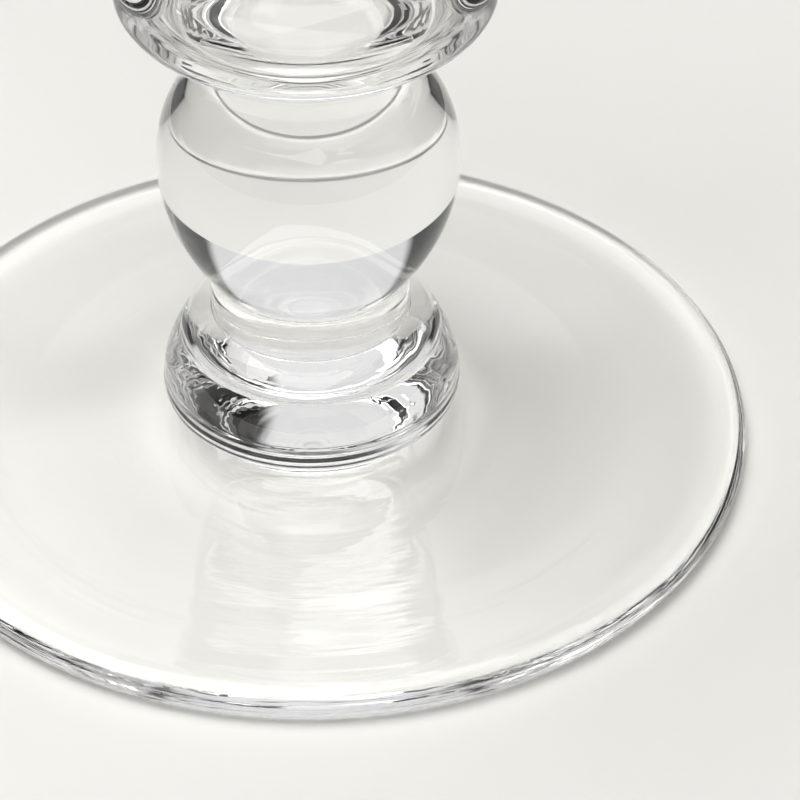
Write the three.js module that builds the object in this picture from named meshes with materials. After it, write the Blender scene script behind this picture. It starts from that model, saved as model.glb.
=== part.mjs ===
// A stemmed drinking glass of heavy clear glass, standing on the table at Z = 0.
// It is put together hot from seven gathers, each fused to the next on a flat round joint.
// Every piece is turned about the Z axis. Sizes are in millimetres.

import * as THREE from 'three';

// Fineness of the turned surfaces
const TURN_STEPS = 48;
const SMALL_ARC_STEPS = 4;
const ARC_STEPS = 7;
const LONG_ARC_STEPS = 10;

// Foot: a low cone, swept up to the stem, with a rolled rim and a slightly hollow underside
const FOOT_RADIUS = 39.5;
const FOOT_HEIGHT = 5.4;
const RIM_WIDTH = 4.3;
const RIM_HEIGHT = 3.0;
const RIM_FULLNESS = 2.4;
const RIM_WIDEST_HEIGHT = 1.3;
const RIM_UNDERCUT = 1.9;
const REST_WIDTH = 10.6;
const HOLLOW_RISE = 1.2;
const FOOT_SWEEP = 1.5;
const FILLET_WIDTH = 3.55;
const FILLET_HEIGHT = 0.8;
const FILLET_CORNER = 0.6;

// Foot collar: a thick ring, rounded off below its widest ring and bowed in above it
const COLLAR_RADIUS = 13.4;
const COLLAR_BOTTOM_RADIUS = 12.2;
const COLLAR_LOWER_HEIGHT = 1.6;
const COLLAR_TOP_RADIUS = 11.75;
const COLLAR_UPPER_HEIGHT = 5.4;

// Neck: widens down to a round shoulder on the collar, and a little way up to the ball
const NECK_RADIUS = 8.9;
const SHOULDER_HEIGHT = 2.8;
const SHOULDER_LEAN = 0.45;
const SHOULDER_CORNER_HEIGHT = 1.75;
const NECK_LENGTH = 3.9;
const NECK_TOP_RADIUS = 9.4;
const NECK_TOP_HEIGHT = 1.3;

// Ball knop: fuller above its widest ring than below it
const BALL_RADIUS = 13.3;
const BALL_LOWER_RISE = 15.9;
const BALL_LOWER_FULLNESS = 1.83;
const BALL_UPPER_RISE = 11.6;
const BALL_UPPER_FULLNESS = 2.35;
const BALL_TOP_RADIUS = 10.65;

// Waist: the drawn-in ring between the two knops
const WAIST_RADIUS = 8.95;
const WAIST_LOWER_HEIGHT = 3.9;
const WAIST_UPPER_HEIGHT = 4.25;

// Cushion knop: a wide flattened disc with a full lower edge
const CUSHION_RADIUS = 16.55;
const CUSHION_BOTTOM_RADIUS = 12.2;
const CUSHION_LOWER_RISE = 3.8;
const CUSHION_LOWER_FULLNESS = 3.4;
const CUSHION_UPPER_RISE = 6.0;
const CUSHION_UPPER_FULLNESS = 2.4;

// Bowl: a tulip on a short solid neck, open at the top
const BOWL_NECK_RADIUS = 9.5;
const BOWL_NECK_HEIGHT = 4.4;
const BOWL_NECK_DRAW_IN = 1.0;
const BOWL_RADIUS = 40.0;
const BOWL_DEPTH = 46.0;
const BOWL_FULLNESS = 2.1;
const BOWL_WALL = 1.8;
const BOWL_BASE_WALL = 5.0;
const MOUTH_RADIUS = 36.5;
const MOUTH_RISE = 55.0;

const glass = new THREE.Group();

// Each gather has its own clear glass, smooth from the fire
function clearGlass() {
  return new THREE.MeshStandardMaterial({
    color: 0xeff3f1,
    roughness: 0.04,
    metalness: 0,
    transparent: true,
    opacity: 0.35,
  });
}

function ring(radius, height) {
  return new THREE.Vector2(radius, height);
}

// Turns a profile, which runs from the axis below to the axis above, into a named piece
function addTurned(name, profile, bottom) {
  const geometry = new THREE.LatheGeometry(profile, TURN_STEPS);
  geometry.rotateX(Math.PI / 2);
  const piece = new THREE.Mesh(geometry, clearGlass());
  piece.name = name;
  piece.position.z = bottom;
  glass.add(piece);
}

// Points of an ellipse's arc, from one angle to another, in quarter turns
function arc(centre, across, up, from, to, steps) {
  const points = [];
  for (let step = 0; step <= steps; step += 1) {
    const angle = (from + ((to - from) * step) / steps) * (Math.PI / 2);
    points.push(ring(centre.x + across * Math.cos(angle), centre.y + up * Math.sin(angle)));
  }
  return points;
}

// Points of a bulge from its widest ring, at height 0, to the ring where it meets a neighbour.
// A fullness of 2 is an ellipse, and a higher one is squarer.
function bulge(radius, rise, fullness, jointRadius, steps) {
  const last = Math.acos((jointRadius / radius) ** (fullness / 2));
  const points = [];
  for (let step = 0; step <= steps; step += 1) {
    const angle = (last * step) / steps;
    const across = radius * Math.cos(angle) ** (2 / fullness);
    points.push(ring(across, rise * Math.sin(angle) ** (2 / fullness)));
  }
  return points;
}

// The same points upside down, in order from the joint at height 0 upwards
function hanging(points) {
  const depth = points.at(-1).y;
  return points.map((point) => ring(point.x, depth - point.y)).reverse();
}

function moved(points, out, up) {
  return points.map((point) => ring(point.x + out, point.y + up));
}

// Points that leave one ring upright, at height 0, and curve out or in to another ring
function swept(startRadius, endRadius, height) {
  const points = [];
  for (let step = 0; step <= ARC_STEPS; step += 1) {
    const share = step / ARC_STEPS;
    points.push(ring(THREE.MathUtils.lerp(startRadius, endRadius, share ** 2), height * share));
  }
  return points;
}

// A drawn-in neck between two radii
function drawnIn(bottomRadius, topRadius, height, drawIn) {
  const points = [];
  for (let step = 0; step <= ARC_STEPS; step += 1) {
    const share = step / ARC_STEPS;
    const straight = THREE.MathUtils.lerp(bottomRadius, topRadius, share);
    points.push(ring(straight - drawIn * Math.sin(Math.PI * share), height * share));
  }
  return points;
}

// The foot's hollow underside, from the axis out to the ring that it stands on
function footHollow(restRadius) {
  const points = [];
  for (let step = 0; step <= ARC_STEPS; step += 1) {
    const share = step / ARC_STEPS;
    points.push(ring(restRadius * share, HOLLOW_RISE * (1 - share ** 2)));
  }
  return points;
}

// The foot's upper side, which steepens from the rim to the fillet, and the fillet up to the collar
function footTop(rimRadius) {
  const filletBottom = FOOT_HEIGHT - FILLET_HEIGHT;
  const filletRadius = COLLAR_BOTTOM_RADIUS + FILLET_WIDTH;
  const rise = filletBottom - RIM_HEIGHT;
  const slope = (FOOT_SWEEP * rise) / (rimRadius - filletRadius);
  const points = [];
  for (let step = 0; step < ARC_STEPS; step += 1) {
    const share = step / ARC_STEPS;
    const across = THREE.MathUtils.lerp(rimRadius, filletRadius, share);
    points.push(ring(across, RIM_HEIGHT + rise * share ** FOOT_SWEEP));
  }
  const start = ring(filletRadius, filletBottom);
  const cornerHeight = filletBottom + slope * (FILLET_WIDTH - FILLET_CORNER);
  const corner = ring(COLLAR_BOTTOM_RADIUS + FILLET_CORNER, cornerHeight);
  const end = ring(COLLAR_BOTTOM_RADIUS, FOOT_HEIGHT);
  const fillet = new THREE.QuadraticBezierCurve(start, corner, end);
  return [...points, ...fillet.getPoints(SMALL_ARC_STEPS)];
}

// Foot
function footProfile() {
  const restOuter = FOOT_RADIUS - RIM_UNDERCUT;
  const crease = FOOT_RADIUS - RIM_WIDTH;
  const underside = footHollow(restOuter - REST_WIDTH);
  const edgeCentre = ring(restOuter, RIM_WIDEST_HEIGHT);
  const edge = arc(edgeCentre, RIM_UNDERCUT, RIM_WIDEST_HEIGHT, -1, 0, SMALL_ARC_STEPS);
  const rimRise = RIM_HEIGHT - RIM_WIDEST_HEIGHT;
  const rimBulge = bulge(RIM_WIDTH, rimRise, RIM_FULLNESS, 0, ARC_STEPS);
  const rim = moved(rimBulge, crease, RIM_WIDEST_HEIGHT);
  const upperSide = [...rim.slice(1), ...footTop(crease).slice(1)];
  return [...underside, ...edge, ...upperSide, ring(0, FOOT_HEIGHT)];
}

// Foot collar: widest a little above the foot
function collarProfile() {
  const lower = hanging(swept(COLLAR_RADIUS, COLLAR_BOTTOM_RADIUS, COLLAR_LOWER_HEIGHT));
  const upper = moved(swept(COLLAR_RADIUS, COLLAR_TOP_RADIUS, COLLAR_UPPER_HEIGHT), 0, COLLAR_LOWER_HEIGHT);
  return [ring(0, 0), ...lower, ...upper.slice(1), ring(0, upper.at(-1).y)];
}

// Neck
function neckProfile() {
  const edge = ring(COLLAR_TOP_RADIUS, 0);
  const corner = ring(COLLAR_TOP_RADIUS - SHOULDER_LEAN, SHOULDER_CORNER_HEIGHT);
  const shoulder = new THREE.QuadraticBezierCurve(edge, corner, ring(NECK_RADIUS, SHOULDER_HEIGHT));
  const straightTop = SHOULDER_HEIGHT + NECK_LENGTH;
  const topSweep = moved(swept(NECK_RADIUS, NECK_TOP_RADIUS, NECK_TOP_HEIGHT), 0, straightTop);
  const side = [...shoulder.getPoints(ARC_STEPS), ...topSweep];
  return [ring(0, 0), ...side, ring(0, straightTop + NECK_TOP_HEIGHT)];
}

// Knops: a lower and an upper bulge that share their widest ring
function knopProfile(radius, lower, upper) {
  const lowerBulge = bulge(radius, lower.rise, lower.fullness, lower.joint, ARC_STEPS);
  const below = hanging(lowerBulge);
  const upperBulge = bulge(radius, upper.rise, upper.fullness, upper.joint, ARC_STEPS);
  const above = moved(upperBulge, 0, below.at(-1).y);
  return [ring(0, 0), ...below, ...above.slice(1), ring(0, above.at(-1).y)];
}

function ballProfile() {
  const lower = { rise: BALL_LOWER_RISE, fullness: BALL_LOWER_FULLNESS, joint: NECK_TOP_RADIUS };
  const upper = { rise: BALL_UPPER_RISE, fullness: BALL_UPPER_FULLNESS, joint: BALL_TOP_RADIUS };
  return knopProfile(BALL_RADIUS, lower, upper);
}

// Waist: drawn in from the ball to its narrowest ring, then flared to the cushion
function waistProfile() {
  const lower = hanging(swept(WAIST_RADIUS, BALL_TOP_RADIUS, WAIST_LOWER_HEIGHT));
  const flareWidth = CUSHION_BOTTOM_RADIUS - WAIST_RADIUS;
  const flareCentre = ring(CUSHION_BOTTOM_RADIUS, WAIST_LOWER_HEIGHT);
  const flare = arc(flareCentre, flareWidth, WAIST_UPPER_HEIGHT, 2, 1, ARC_STEPS);
  return [ring(0, 0), ...lower, ...flare.slice(1), ring(0, WAIST_LOWER_HEIGHT + WAIST_UPPER_HEIGHT)];
}

function cushionProfile() {
  const lower = {
    rise: CUSHION_LOWER_RISE,
    fullness: CUSHION_LOWER_FULLNESS,
    joint: CUSHION_BOTTOM_RADIUS,
  };
  const upper = { rise: CUSHION_UPPER_RISE, fullness: CUSHION_UPPER_FULLNESS, joint: BOWL_NECK_RADIUS };
  return knopProfile(CUSHION_RADIUS, lower, upper);
}

// The bowl's wall above its widest ring, which leans in to the mouth
function bowlSide(radius, widest) {
  const leanIn = BOWL_RADIUS - MOUTH_RADIUS;
  const points = [];
  for (let step = 0; step <= ARC_STEPS; step += 1) {
    const share = step / ARC_STEPS;
    points.push(ring(radius - leanIn * share ** 2, widest + MOUTH_RISE * share));
  }
  return points;
}

// Bowl
function bowlProfile() {
  const neck = drawnIn(BOWL_NECK_RADIUS, BOWL_NECK_RADIUS, BOWL_NECK_HEIGHT, BOWL_NECK_DRAW_IN);
  const outerCup = bulge(BOWL_RADIUS, BOWL_DEPTH, BOWL_FULLNESS, BOWL_NECK_RADIUS, LONG_ARC_STEPS);
  const outside = moved(hanging(outerCup), 0, BOWL_NECK_HEIGHT);
  const widest = outside.at(-1).y;
  const innerRadius = BOWL_RADIUS - BOWL_WALL;
  const innerDepth = BOWL_DEPTH - BOWL_BASE_WALL;
  const innerCup = bulge(innerRadius, innerDepth, BOWL_FULLNESS, 0, LONG_ARC_STEPS);
  const inside = innerCup.map((point) => ring(point.x, widest - point.y));
  const outerSide = bowlSide(BOWL_RADIUS, widest);
  const innerSide = bowlSide(innerRadius, widest).reverse();
  const lipCentre = ring(MOUTH_RADIUS - BOWL_WALL / 2, widest + MOUTH_RISE);
  const lip = arc(lipCentre, BOWL_WALL / 2, BOWL_WALL / 2, 0, 2, SMALL_ARC_STEPS);
  return [
    ring(0, 0),
    ...neck,
    ...outside.slice(1),
    ...outerSide.slice(1),
    ...lip.slice(1),
    ...innerSide.slice(1),
    ...inside.slice(1),
  ];
}

// The gathers stand on one another, so each begins where the one below it ends
const stack = [
  ['foot_collar', collarProfile()],
  ['stem_neck', neckProfile()],
  ['ball_knop', ballProfile()],
  ['waist_ring', waistProfile()],
  ['cushion_knop', cushionProfile()],
  ['bowl', bowlProfile()],
];

addTurned('foot', footProfile(), 0);
let joint = FOOT_HEIGHT;
for (const [name, profile] of stack) {
  addTurned(name, profile, joint);
  joint += profile.at(-1).y;
}

export default glass;
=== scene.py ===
import math

import bmesh
import bpy
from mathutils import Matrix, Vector


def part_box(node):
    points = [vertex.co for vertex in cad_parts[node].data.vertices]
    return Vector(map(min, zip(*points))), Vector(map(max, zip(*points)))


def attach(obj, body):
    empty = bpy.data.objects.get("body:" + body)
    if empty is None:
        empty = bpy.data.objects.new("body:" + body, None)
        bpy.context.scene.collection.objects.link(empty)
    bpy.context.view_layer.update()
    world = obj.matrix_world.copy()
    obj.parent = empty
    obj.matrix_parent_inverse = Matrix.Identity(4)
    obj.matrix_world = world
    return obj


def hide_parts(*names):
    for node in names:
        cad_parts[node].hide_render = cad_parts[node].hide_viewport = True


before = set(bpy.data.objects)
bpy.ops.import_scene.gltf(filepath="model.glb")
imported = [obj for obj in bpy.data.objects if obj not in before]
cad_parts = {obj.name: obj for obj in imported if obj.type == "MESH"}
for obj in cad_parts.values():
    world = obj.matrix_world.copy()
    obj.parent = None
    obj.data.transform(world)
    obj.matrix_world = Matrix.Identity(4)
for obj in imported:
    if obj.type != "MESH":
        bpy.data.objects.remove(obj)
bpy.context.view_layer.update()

# Foot
# A low cone of clear glass, pressed flat while soft and turned against a wooden paddle, which leaves faint
# rings on it. Its rim is rolled and fire-polished, and its underside is slightly hollow.
MM = 0.001
TURN_STEPS = 192
MERGE_DISTANCE = 1e-7
GLASS_COLOUR = (0.99, 0.99, 0.987, 1)
GLASS_INDEX = 1.52
STROKES_PER_METRE = 120
SMUDGES_PER_METRE = 60
SMUDGE_START = 0.55
SMUDGE_FULL = 0.8

scene = bpy.context.scene
foot_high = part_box("foot")[1]
FOOT_RADIUS = foot_high[0]
FOOT_TOP = foot_high[2]
RIM_WIDTH = 4.3 * MM
RIM_HEIGHT = 3.0 * MM
RIM_FULLNESS = 2.4
RIM_WIDEST = 1.3 * MM
RIM_UNDERCUT = 1.9 * MM
REST_WIDTH = 10.6 * MM
HOLLOW_RISE = 1.2 * MM
FOOT_SWEEP = 1.5
FILLET_WIDTH = 3.55 * MM
FILLET_HEIGHT = 0.8 * MM
FILLET_CORNER = 0.6 * MM
COLLAR_BOTTOM_RADIUS = 12.2 * MM


def arc(centre, across, up, start, end, steps):
    """Points of an ellipse's arc about a centre, from one angle to another, in quarter turns."""
    points = []
    for step in range(steps + 1):
        angle = (start + (end - start) * step / steps) * math.pi / 2
        points.append((centre[0] + across * math.cos(angle), centre[1] + up * math.sin(angle)))
    return points


def bulge(radius, rise, fullness, joint_radius, steps):
    """Points of a bulge from its widest ring, at height 0, up to the ring where it meets a neighbour."""
    last = math.acos((joint_radius / radius) ** (fullness / 2))
    points = []
    for step in range(steps + 1):
        angle = last * step / steps
        across = radius * max(math.cos(angle), 0) ** (2 / fullness)
        points.append((across, rise * math.sin(angle) ** (2 / fullness)))
    return points


def moved(points, out, up):
    """The same points, moved away from the axis and up."""
    return [(radius + out, height + up) for radius, height in points]


def swept(start, end, steps, out_power=1, up_power=1):
    """Points from one ring to another. A power of 1 is even, and a higher one starts more slowly."""
    points = []
    for step in range(steps + 1):
        share = step / steps
        radius = start[0] + (end[0] - start[0]) * share**out_power
        points.append((radius, start[1] + (end[1] - start[1]) * share**up_power))
    return points


def rounded(start, corner, end, steps):
    """Points of a corner rounded off from one ring to another."""
    points = []
    for step in range(steps + 1):
        share = step / steps
        shares = ((1 - share) ** 2, 2 * share * (1 - share), share**2)
        points.append(tuple(
            sum(part * ring[axis] for part, ring in zip(shares, (start, corner, end))) for axis in (0, 1)
        ))
    return points


def joined(*runs):
    """One profile from several runs of points, without the point that two runs share."""
    profile = []
    for run in runs:
        for point in run:
            if not profile or math.dist(point, profile[-1]) > MERGE_DISTANCE:
                profile.append(point)
    return profile


def tool_marks():
    """Rings left by the tools, which wander a little on their way round the axis, and faint smudges."""
    group = bpy.data.node_groups.new("tool_marks", "ShaderNodeTree")
    group.interface.new_socket("Place", in_out="INPUT", socket_type="NodeSocketVector")
    group.interface.new_socket("Rings per metre", in_out="INPUT", socket_type="NodeSocketFloat")
    group.interface.new_socket("Ring height", in_out="OUTPUT", socket_type="NodeSocketFloat")
    group.interface.new_socket("Smudge", in_out="OUTPUT", socket_type="NodeSocketFloat")
    nodes = group.nodes
    link = group.links.new
    given = nodes.new("NodeGroupInput")
    result = nodes.new("NodeGroupOutput")

    flat = nodes.new("ShaderNodeVectorMath")
    flat.operation = "MULTIPLY"
    flat.inputs[1].default_value = (1, 1, 0)
    link(given.outputs["Place"], flat.inputs[0])
    radius = nodes.new("ShaderNodeVectorMath")
    radius.operation = "LENGTH"
    link(flat.outputs["Vector"], radius.inputs[0])
    height = nodes.new("ShaderNodeSeparateXYZ")
    link(given.outputs["Place"], height.inputs[0])
    rings_passed = []
    for size in (radius.outputs["Value"], height.outputs["Z"]):
        count = nodes.new("ShaderNodeMath")
        count.operation = "MULTIPLY"
        link(size, count.inputs[0])
        link(given.outputs["Rings per metre"], count.inputs[1])
        rings_passed.append(count.outputs["Value"])

    wander = nodes.new("ShaderNodeVectorMath")
    wander.operation = "SCALE"
    wander.inputs["Scale"].default_value = STROKES_PER_METRE
    link(flat.outputs["Vector"], wander.inputs[0])
    strokes = nodes.new("ShaderNodeSeparateXYZ")
    link(wander.outputs["Vector"], strokes.inputs[0])
    place = nodes.new("ShaderNodeCombineXYZ")
    link(rings_passed[0], place.inputs["X"])
    link(strokes.outputs["X"], place.inputs["Y"])
    link(strokes.outputs["Y"], place.inputs["Z"])
    rings = nodes.new("ShaderNodeTexNoise")
    rings.noise_dimensions = "4D"
    rings.inputs["Scale"].default_value = 1
    rings.inputs["Detail"].default_value = 1
    link(place.outputs["Vector"], rings.inputs["Vector"])
    link(rings_passed[1], rings.inputs["W"])
    link(rings.outputs["Fac"], result.inputs["Ring height"])

    patches = nodes.new("ShaderNodeTexNoise")
    patches.inputs["Scale"].default_value = SMUDGES_PER_METRE
    patches.inputs["Detail"].default_value = 4
    link(given.outputs["Place"], patches.inputs["Vector"])
    smudge = nodes.new("ShaderNodeMapRange")
    smudge.inputs["From Min"].default_value = SMUDGE_START
    smudge.inputs["From Max"].default_value = SMUDGE_FULL
    link(patches.outputs["Fac"], smudge.inputs["Value"])
    link(smudge.outputs["Result"], result.inputs["Smudge"])
    return group


TOOL_MARKS = tool_marks()


def clear_glass(name, rings_per_metre, ring_height, smudge_roughness):
    """Fire-polished clear glass with the marks that the tools left on it."""
    material = bpy.data.materials.new(name)
    material.use_nodes = True
    nodes = material.node_tree.nodes
    link = material.node_tree.links.new
    shader = nodes["Principled BSDF"]
    shader.inputs["Base Color"].default_value = GLASS_COLOUR
    shader.inputs["IOR"].default_value = GLASS_INDEX
    shader.inputs["Transmission Weight"].default_value = 1
    place = nodes.new("ShaderNodeTexCoord")
    marks = nodes.new("ShaderNodeGroup")
    marks.node_tree = TOOL_MARKS
    marks.inputs["Rings per metre"].default_value = rings_per_metre
    link(place.outputs["Object"], marks.inputs["Place"])
    bump = nodes.new("ShaderNodeBump")
    bump.inputs["Distance"].default_value = ring_height
    link(marks.outputs["Ring height"], bump.inputs["Height"])
    link(bump.outputs["Normal"], shader.inputs["Normal"])
    roughness = nodes.new("ShaderNodeMath")
    roughness.operation = "MULTIPLY"
    roughness.inputs[1].default_value = smudge_roughness
    link(marks.outputs["Smudge"], roughness.inputs[0])
    link(roughness.outputs["Value"], shader.inputs["Roughness"])
    return material


def fused_joint():
    """The flat disc where two gathers are fused, which light passes as if it weren't there."""
    material = bpy.data.materials.new("fused_joint")
    material.use_nodes = True
    nodes = material.node_tree.nodes
    nodes.remove(nodes["Principled BSDF"])
    clear = nodes.new("ShaderNodeBsdfTransparent")
    material.node_tree.links.new(clear.outputs["BSDF"], nodes["Material Output"].inputs["Surface"])
    return material


JOINT_MATERIAL = fused_joint()


def turn(name, node, profile, material, joints, creases):
    """Spins a profile of (radius, height) points about the axis into one closed piece of glass.

    Joints are the heights of the discs where it is fused to its neighbours, and creases are the points of
    the profile that stay crisp.
    """
    shape = bmesh.new()
    crease_mark = shape.verts.layers.int.new("crease")
    points = []
    for radius, height in profile:
        point = shape.verts.new((radius, 0, height))
        for mark, crease in enumerate(creases, 1):
            if math.dist((radius, height), crease) < MERGE_DISTANCE:
                point[crease_mark] = mark
        points.append(point)
    line = [shape.edges.new(pair) for pair in zip(points, points[1:])]
    bmesh.ops.spin(
        shape, geom=points + line, cent=(0, 0, 0), axis=(0, 0, 1),
        angle=math.tau, steps=TURN_STEPS, use_merge=True,
    )
    bmesh.ops.remove_doubles(shape, verts=shape.verts, dist=MERGE_DISTANCE)
    bmesh.ops.recalc_face_normals(shape, faces=shape.faces)
    for face in shape.faces:
        face.smooth = True
    for edge in shape.edges:
        start, end = edge.verts
        if start[crease_mark] and start[crease_mark] == end[crease_mark]:
            edge.smooth = False
    for point in shape.verts:
        if math.hypot(point.co.x, point.co.y) < MERGE_DISTANCE:
            if any(abs(point.co.z - height) < MERGE_DISTANCE for height in joints):
                for face in point.link_faces:
                    face.material_index = 1
    mesh = bpy.data.meshes.new(name)
    shape.to_mesh(mesh)
    shape.free()
    mesh.materials.append(material)
    mesh.materials.append(JOINT_MATERIAL)
    piece = bpy.data.objects.new(name, mesh)
    scene.collection.objects.link(piece)
    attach(piece, "root")
    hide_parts(node)


rest_outer = FOOT_RADIUS - RIM_UNDERCUT
rest_inner = rest_outer - REST_WIDTH
rim_crease = (FOOT_RADIUS - RIM_WIDTH, RIM_HEIGHT)
rim_bulge = bulge(RIM_WIDTH, RIM_HEIGHT - RIM_WIDEST, RIM_FULLNESS, joint_radius=0, steps=32)

# The fillet leaves the cone along the cone's own slope, and turns up into the joint.
foot_joint = (COLLAR_BOTTOM_RADIUS, FOOT_TOP)
fillet_start = (COLLAR_BOTTOM_RADIUS + FILLET_WIDTH, FOOT_TOP - FILLET_HEIGHT)
foot_slope = FOOT_SWEEP * (fillet_start[1] - RIM_HEIGHT) / (rim_crease[0] - fillet_start[0])
fillet_rise = foot_slope * (FILLET_WIDTH - FILLET_CORNER)
fillet_corner = (COLLAR_BOTTOM_RADIUS + FILLET_CORNER, fillet_start[1] + fillet_rise)
foot_profile = joined(
    swept((0, HOLLOW_RISE), (rest_inner, 0), steps=32, up_power=2),
    swept((rest_inner, 0), (rest_outer, 0), steps=4),
    arc((rest_outer, RIM_WIDEST), RIM_UNDERCUT, RIM_WIDEST, start=-1, end=0, steps=12),
    moved(rim_bulge, rim_crease[0], RIM_WIDEST),
    swept(rim_crease, fillet_start, steps=32, up_power=FOOT_SWEEP),
    rounded(fillet_start, fillet_corner, foot_joint, steps=16),
    [(0, FOOT_TOP)],
)
foot_clear = clear_glass(
    "foot_clear", rings_per_metre=1300, ring_height=0.008 * MM, smudge_roughness=0.02,
)
turn(
    "foot_glass", "foot", foot_profile, foot_clear,
    joints=[FOOT_TOP], creases=[foot_joint, rim_crease],
)

# Foot collar
# A thick ring of clear glass dropped hot on the foot, which slumped round before its upper edge was pressed
# crisp. Turning it against the tool left shallow ridges near the foot.
collar_low, collar_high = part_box("foot_collar")
COLLAR_RADIUS = collar_high[0]
COLLAR_TOP_RADIUS = 11.75 * MM
COLLAR_LOWER_HEIGHT = 1.6 * MM
RIDGE_COUNT = 4
RIDGE_DEPTH = 0.05 * MM
RIDGES_HEIGHT = 3.4 * MM


def ridged(points, low, height, count, depth):
    """The same points with shallow ridges on a band, which fade out at both ends of it."""
    ridges = []
    for radius, up in points:
        share = min(max((up - low) / height, 0), 1)
        wave = math.sin(math.tau * count * share) * math.sin(math.pi * share)
        ridges.append((radius + depth * (wave - 1) * math.sin(math.pi * share), up))
    return ridges


collar_widest = (COLLAR_RADIUS, collar_low[2] + COLLAR_LOWER_HEIGHT)
collar_edge = (COLLAR_TOP_RADIUS, collar_high[2])
collar_wall = joined(
    reversed(swept(collar_widest, foot_joint, steps=40, out_power=2)),
    swept(collar_widest, collar_edge, steps=60, out_power=2),
)
collar_profile = joined(
    [(0, collar_low[2])],
    ridged(collar_wall, collar_low[2], RIDGES_HEIGHT, RIDGE_COUNT, RIDGE_DEPTH),
    [(0, collar_high[2])],
)
collar_clear = clear_glass(
    "collar_clear", rings_per_metre=1400, ring_height=0.003 * MM, smudge_roughness=0.015,
)
turn(
    "collar_glass", "foot_collar", collar_profile, collar_clear,
    joints=[collar_low[2], collar_high[2]], creases=[foot_joint, collar_edge],
)

# Neck
# The solid neck of the stem, clear glass drawn down from the ball to a round shoulder that is fused to the
# collar. The jacks that narrowed it left rings on it.
neck_low, neck_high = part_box("stem_neck")
NECK_RADIUS = 8.9 * MM
NECK_TOP_RADIUS = 9.4 * MM
NECK_TOP_HEIGHT = 1.3 * MM
SHOULDER_HEIGHT = 2.8 * MM
SHOULDER_LEAN = 0.45 * MM
SHOULDER_CORNER_HEIGHT = 1.75 * MM
shoulder_corner = (COLLAR_TOP_RADIUS - SHOULDER_LEAN, neck_low[2] + SHOULDER_CORNER_HEIGHT)
shoulder_top = (NECK_RADIUS, neck_low[2] + SHOULDER_HEIGHT)
neck_straight_top = (NECK_RADIUS, neck_high[2] - NECK_TOP_HEIGHT)
neck_joint = (NECK_TOP_RADIUS, neck_high[2])
neck_profile = joined(
    [(0, neck_low[2])],
    rounded(collar_edge, shoulder_corner, shoulder_top, steps=40),
    swept(shoulder_top, neck_straight_top, steps=40),
    swept(neck_straight_top, neck_joint, steps=12, out_power=2),
    [(0, neck_high[2])],
)
neck_clear = clear_glass(
    "neck_clear", rings_per_metre=1200, ring_height=0.012 * MM, smudge_roughness=0.015,
)
turn(
    "neck_glass", "stem_neck", neck_profile, neck_clear,
    joints=[neck_low[2], neck_high[2]], creases=[collar_edge, neck_joint],
)

# Ball knop
# A solid ball of clear glass, rounder above than below. It was gathered and shaped on the end of the neck,
# and the fire left it smooth.
ball_low, ball_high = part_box("ball_knop")
BALL_RADIUS = ball_high[0]
BALL_LOWER_RISE = 15.9 * MM
BALL_LOWER_FULLNESS = 1.83
BALL_UPPER_RISE = 11.6 * MM
BALL_UPPER_FULLNESS = 2.35
BALL_TOP_RADIUS = 10.65 * MM


def hanging(points, up):
    """The same bulge below its widest ring, from the joint at the given height upwards."""
    depth = points[-1][1]
    return [(radius, up + depth - height) for radius, height in reversed(points)]


waist_joint = (BALL_TOP_RADIUS, ball_high[2])
ball_under = bulge(BALL_RADIUS, BALL_LOWER_RISE, BALL_LOWER_FULLNESS, NECK_TOP_RADIUS, steps=40)
ball_over = bulge(BALL_RADIUS, BALL_UPPER_RISE, BALL_UPPER_FULLNESS, BALL_TOP_RADIUS, steps=40)
ball_middle = ball_low[2] + ball_under[-1][1]
ball_profile = joined(
    [(0, ball_low[2])],
    hanging(ball_under, ball_low[2]),
    moved(ball_over, 0, ball_middle),
    [(0, ball_high[2])],
)
ball_clear = clear_glass(
    "ball_clear", rings_per_metre=300, ring_height=0.006 * MM, smudge_roughness=0.012,
)
turn(
    "ball_glass", "ball_knop", ball_profile, ball_clear,
    joints=[ball_low[2], ball_high[2]], creases=[neck_joint, waist_joint],
)

# Waist
# The drawn-in ring of clear glass between the ball and the cushion. It was nipped with the jacks while it
# turned, so it flares out to both of them.
waist_low, waist_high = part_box("waist_ring")
WAIST_RADIUS = 8.95 * MM
WAIST_LOWER_HEIGHT = 3.9 * MM
CUSHION_BOTTOM_RADIUS = 12.2 * MM
waist_nip = (WAIST_RADIUS, waist_low[2] + WAIST_LOWER_HEIGHT)
waist_flare = CUSHION_BOTTOM_RADIUS - WAIST_RADIUS
waist_rise = waist_high[2] - waist_nip[1]
cushion_joint = (CUSHION_BOTTOM_RADIUS, waist_high[2])
waist_profile = joined(
    [(0, waist_low[2])],
    reversed(swept(waist_nip, waist_joint, steps=24, out_power=2)),
    arc((CUSHION_BOTTOM_RADIUS, waist_nip[1]), waist_flare, waist_rise, start=2, end=1, steps=24),
    [(0, waist_high[2])],
)
waist_clear = clear_glass(
    "waist_clear", rings_per_metre=500, ring_height=0.004 * MM, smudge_roughness=0.012,
)
turn(
    "waist_glass", "waist_ring", waist_profile, waist_clear,
    joints=[waist_low[2], waist_high[2]], creases=[waist_joint, cushion_joint],
)

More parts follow.
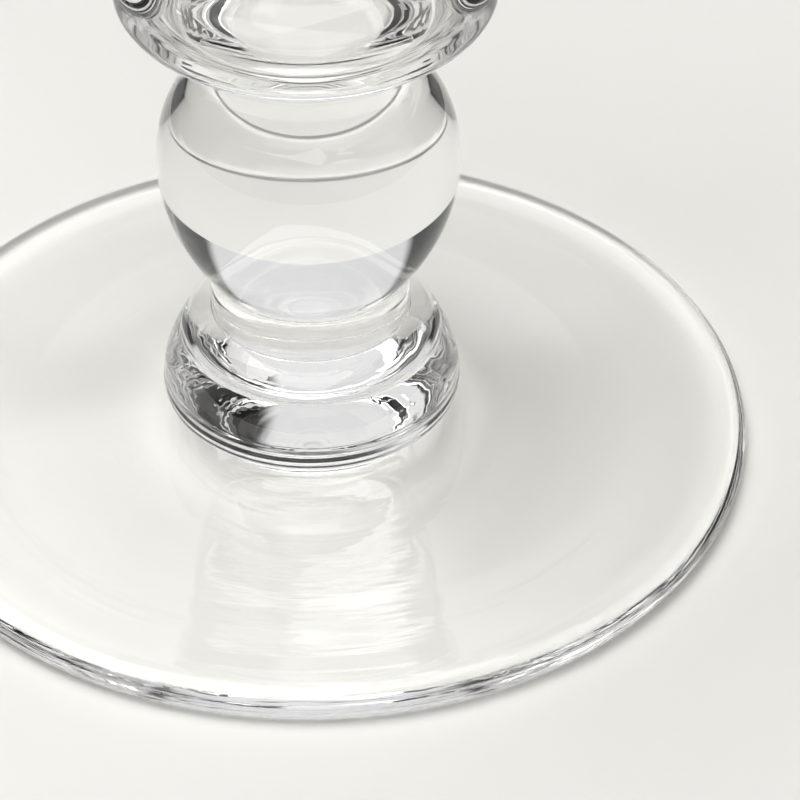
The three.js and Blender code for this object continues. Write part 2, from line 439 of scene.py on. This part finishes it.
# Cushion knop
# A wide disc of clear glass with a full lower edge, pressed flat while soft. It is fused to the waist below
# it and to the neck of the bowl.
cushion_low, cushion_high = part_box("cushion_knop")
CUSHION_RADIUS = cushion_high[0]
CUSHION_LOWER_RISE = 3.8 * MM
CUSHION_LOWER_FULLNESS = 3.4
CUSHION_UPPER_RISE = 6.0 * MM
CUSHION_UPPER_FULLNESS = 2.4
BOWL_NECK_RADIUS = 9.5 * MM
bowl_joint = (BOWL_NECK_RADIUS, cushion_high[2])
cushion_under = bulge(
    CUSHION_RADIUS, CUSHION_LOWER_RISE, CUSHION_LOWER_FULLNESS, CUSHION_BOTTOM_RADIUS, steps=40,
)
cushion_over = bulge(CUSHION_RADIUS, CUSHION_UPPER_RISE, CUSHION_UPPER_FULLNESS, BOWL_NECK_RADIUS, steps=40)
cushion_middle = cushion_low[2] + cushion_under[-1][1]
cushion_profile = joined(
    [(0, cushion_low[2])],
    hanging(cushion_under, cushion_low[2]),
    moved(cushion_over, 0, cushion_middle),
    [(0, cushion_high[2])],
)
cushion_clear = clear_glass(
    "cushion_clear", rings_per_metre=300, ring_height=0.003 * MM, smudge_roughness=0.015,
)
turn(
    "cushion_glass", "cushion_knop", cushion_profile, cushion_clear,
    joints=[cushion_low[2], cushion_high[2]], creases=[cushion_joint, bowl_joint],
)

# Bowl
# A blown tulip of clear glass on a short solid neck, which is fused to the cushion. Its mouth was cut and
# then fire-polished to a round lip.
bowl_low, bowl_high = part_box("bowl")
BOWL_RADIUS = bowl_high[0]
BOWL_NECK_HEIGHT = 4.4 * MM
BOWL_NECK_DRAW_IN = 1.0 * MM
BOWL_DEPTH = 46.0 * MM
BOWL_FULLNESS = 2.1
BOWL_WALL = 1.8 * MM
BOWL_BASE_WALL = 5.0 * MM
MOUTH_RADIUS = 36.5 * MM
MOUTH_RISE = 55.0 * MM


def drawn_in(bottom, top, draw_in, steps):
    """Points of a nipped neck between two rings."""
    points = []
    for step in range(steps + 1):
        share = step / steps
        radius = bottom[0] + (top[0] - bottom[0]) * share - draw_in * math.sin(math.pi * share)
        points.append((radius, bottom[1] + (top[1] - bottom[1]) * share))
    return points


def bowl_side(radius, widest, steps):
    """The wall above the widest ring, which leans in to the mouth."""
    points = []
    for step in range(steps + 1):
        share = step / steps
        points.append((radius - (BOWL_RADIUS - MOUTH_RADIUS) * share**2, widest + MOUTH_RISE * share))
    return points


cup_bottom = bowl_low[2] + BOWL_NECK_HEIGHT
bowl_neck_top = (BOWL_NECK_RADIUS, cup_bottom)
outer_cup = bulge(BOWL_RADIUS, BOWL_DEPTH, BOWL_FULLNESS, BOWL_NECK_RADIUS, steps=40)
bowl_widest = cup_bottom + outer_cup[-1][1]
inner_radius = BOWL_RADIUS - BOWL_WALL
inner_cup = bulge(inner_radius, BOWL_DEPTH - BOWL_BASE_WALL, BOWL_FULLNESS, joint_radius=0, steps=40)
lip_centre = (MOUTH_RADIUS - BOWL_WALL / 2, bowl_widest + MOUTH_RISE)
bowl_profile = joined(
    [(0, bowl_low[2])],
    drawn_in(bowl_joint, bowl_neck_top, BOWL_NECK_DRAW_IN, steps=24),
    hanging(outer_cup, cup_bottom),
    bowl_side(BOWL_RADIUS, bowl_widest, steps=24),
    arc(lip_centre, BOWL_WALL / 2, BOWL_WALL / 2, start=0, end=2, steps=20),
    reversed(bowl_side(inner_radius, bowl_widest, steps=24)),
    [(radius, bowl_widest - height) for radius, height in inner_cup],
)
bowl_clear = clear_glass(
    "bowl_clear", rings_per_metre=250, ring_height=0.006 * MM, smudge_roughness=0.012,
)
turn("bowl_glass", "bowl", bowl_profile, bowl_clear, joints=[bowl_low[2]], creases=[bowl_joint])

# Table
# A plain table top, painted a warm matt white, which the glass stands on. It lies a hair below the foot, so
# that the two surfaces stay apart.
TABLE_RADIUS = 1.6
TABLE_DROP = 0.05 * MM
TABLE_COLOUR = (0.88, 0.873, 0.84)


def plain(name, colour, roughness):
    """A matt painted surface."""
    material = bpy.data.materials.new(name)
    material.use_nodes = True
    shader = material.node_tree.nodes["Principled BSDF"]
    shader.inputs["Base Color"].default_value = (*colour, 1)
    shader.inputs["Roughness"].default_value = roughness
    shader.inputs["Specular IOR Level"].default_value = 0
    return material


def stage_mesh(name, shape, material):
    """An object of the stage, which isn't part of the glass."""
    mesh = bpy.data.meshes.new(name)
    shape.to_mesh(mesh)
    shape.free()
    mesh.materials.append(material)
    thing = bpy.data.objects.new(name, mesh)
    scene.collection.objects.link(thing)
    return thing


top = bmesh.new()
bmesh.ops.create_circle(top, cap_ends=True, radius=TABLE_RADIUS, segments=96)
bmesh.ops.translate(top, verts=top.verts, vec=(0, 0, -TABLE_DROP))
stage_mesh("table_top", top, plain("table_white", TABLE_COLOUR, roughness=0.6))

# Studio
# Dark walls round the table and a dark flag close behind the glass, with a pale card that stands in front
# of the flag and a pale panel over it. Two wide soft lights hang on the left, one behind the glass and one
# in front of it.
WALL_RADIUS = 1.5
WALL_HEIGHT = 2.4
WALL_COLOUR = (0.03, 0.03, 0.03)
FLAG_DISTANCE = 117 * MM
FLAG_SIDE = 280 * MM
FLAG_TOP = 76 * MM
FLAG_COLOUR = (0.01, 0.01, 0.011)
CARD_DISTANCE = FLAG_DISTANCE - MM
CARD_SIDE = 78 * MM
CARD_TOP = 84 * MM
CARD_COLOUR = (0.72, 0.72, 0.73)
PANEL_LEFT = -105 * MM
PANEL_RIGHT = 38 * MM
PANEL_BOTTOM = 90 * MM
PANEL_TOP = 300 * MM
PANEL_COLOUR = (0.8, 0.8, 0.8)
SOFT_EDGE = 16 * MM
AIR_COLOUR = (1, 0.99, 0.97, 1)
AIR_STRENGTH = 0.8


def soft_glow(name, colour, left, right, bottom, top):
    """A glow of one colour that fades to clear along the four edges of a sheet."""
    material = bpy.data.materials.new(name)
    material.use_nodes = True
    nodes = material.node_tree.nodes
    link = material.node_tree.links.new
    nodes.remove(nodes["Principled BSDF"])
    light = nodes.new("ShaderNodeEmission")
    light.inputs["Color"].default_value = (*colour, 1)
    clear = nodes.new("ShaderNodeBsdfTransparent")
    sheet = nodes.new("ShaderNodeMixShader")
    link(clear.outputs["BSDF"], sheet.inputs[1])
    link(light.outputs["Emission"], sheet.inputs[2])
    link(sheet.outputs["Shader"], nodes["Material Output"].inputs["Surface"])
    place = nodes.new("ShaderNodeTexCoord")
    axes = nodes.new("ShaderNodeSeparateXYZ")
    link(place.outputs["Object"], axes.inputs[0])
    level = None
    for axis, edge, inwards in (("X", left, 1), ("X", right, -1), ("Z", bottom, 1), ("Z", top, -1)):
        fade = nodes.new("ShaderNodeMapRange")
        fade.interpolation_type = "SMOOTHSTEP"
        fade.inputs["From Min"].default_value = edge
        fade.inputs["From Max"].default_value = edge + inwards * SOFT_EDGE
        link(axes.outputs[axis], fade.inputs["Value"])
        if level is not None:
            link(level, fade.inputs["To Max"])
        level = fade.outputs["Result"]
    link(level, sheet.inputs["Fac"])
    return material


def upright_sheet(name, colour, left, right, bottom, top, distance):
    """A sheet behind the glass that only shows in the glass."""
    sheet = bmesh.new()
    corners = [(left, bottom), (right, bottom), (right, top), (left, top)]
    sheet.faces.new([sheet.verts.new((x, distance, z)) for x, z in corners])
    thing = stage_mesh(name, sheet, soft_glow(name + "_glow", colour, left, right, bottom, top))
    thing.visible_camera = False
    thing.visible_diffuse = False
    thing.visible_shadow = False


def soft_light(name, width, depth, power, place):
    """A wide soft light over the table that faces the glass."""
    light = bpy.data.lights.new(name, "AREA")
    light.shape = "RECTANGLE"
    light.size = width
    light.size_y = depth
    light.energy = power
    lamp = bpy.data.objects.new(name, light)
    lamp.location = place
    lamp.rotation_euler = (-lamp.location).to_track_quat("-Z", "Y").to_euler()
    scene.collection.objects.link(lamp)


wall = bmesh.new()
bmesh.ops.create_cone(
    wall, cap_ends=False, segments=64, radius1=WALL_RADIUS, radius2=WALL_RADIUS, depth=WALL_HEIGHT,
)
bmesh.ops.translate(wall, verts=wall.verts, vec=(0, 0, WALL_HEIGHT / 2))
studio_wall = stage_mesh("studio_wall", wall, plain("studio_dark", WALL_COLOUR, roughness=1))
studio_wall.visible_camera = False

upright_sheet("back_flag", FLAG_COLOUR, -FLAG_SIDE, FLAG_SIDE, -SOFT_EDGE, FLAG_TOP, FLAG_DISTANCE)
upright_sheet("back_card", CARD_COLOUR, -CARD_SIDE, CARD_SIDE, -SOFT_EDGE, CARD_TOP, CARD_DISTANCE)
upright_sheet("back_panel", PANEL_COLOUR, PANEL_LEFT, PANEL_RIGHT, PANEL_BOTTOM, PANEL_TOP, CARD_DISTANCE)

soft_light("back_light", width=1.3, depth=1.0, power=8.8, place=(-0.35, 0.35, 1.3))
soft_light("front_light", width=1.6, depth=1.1, power=12, place=(-0.25, -0.5, 1.3))

world = bpy.data.worlds.new("studio_air")
scene.world = world
world.use_nodes = True
air = world.node_tree.nodes["Background"]
air.inputs["Color"].default_value = AIR_COLOUR
air.inputs["Strength"].default_value = AIR_STRENGTH

# Camera
# Above and in front of the foot, with a long lens that looks past the stem to its right. Its picture ends
# at the cushion knop.
CAMERA_PLACE = Vector((0, -323.8, 267.5)) * MM
CAMERA_AIM = Vector((8.09, 4.19, 0)) * MM
CAMERA_LENS = 206.4

lens = bpy.data.cameras.new("camera")
lens.lens = CAMERA_LENS
lens.sensor_width = 36
lens.clip_start = 0.01
camera = bpy.data.objects.new("camera", lens)
camera.location = CAMERA_PLACE
camera.rotation_euler = (CAMERA_AIM - CAMERA_PLACE).to_track_quat("-Z", "Y").to_euler()
scene.collection.objects.link(camera)
scene.camera = camera

# Picture
# Plain colours, and enough bounces for light to cross every wall of the glass, with its small bright images
# left sharp.
scene.view_settings.view_transform = "Standard"
scene.cycles.max_bounces = 32
scene.cycles.transmission_bounces = 32
scene.cycles.glossy_bounces = 24
scene.cycles.transparent_max_bounces = 64
scene.cycles.blur_glossy = 0
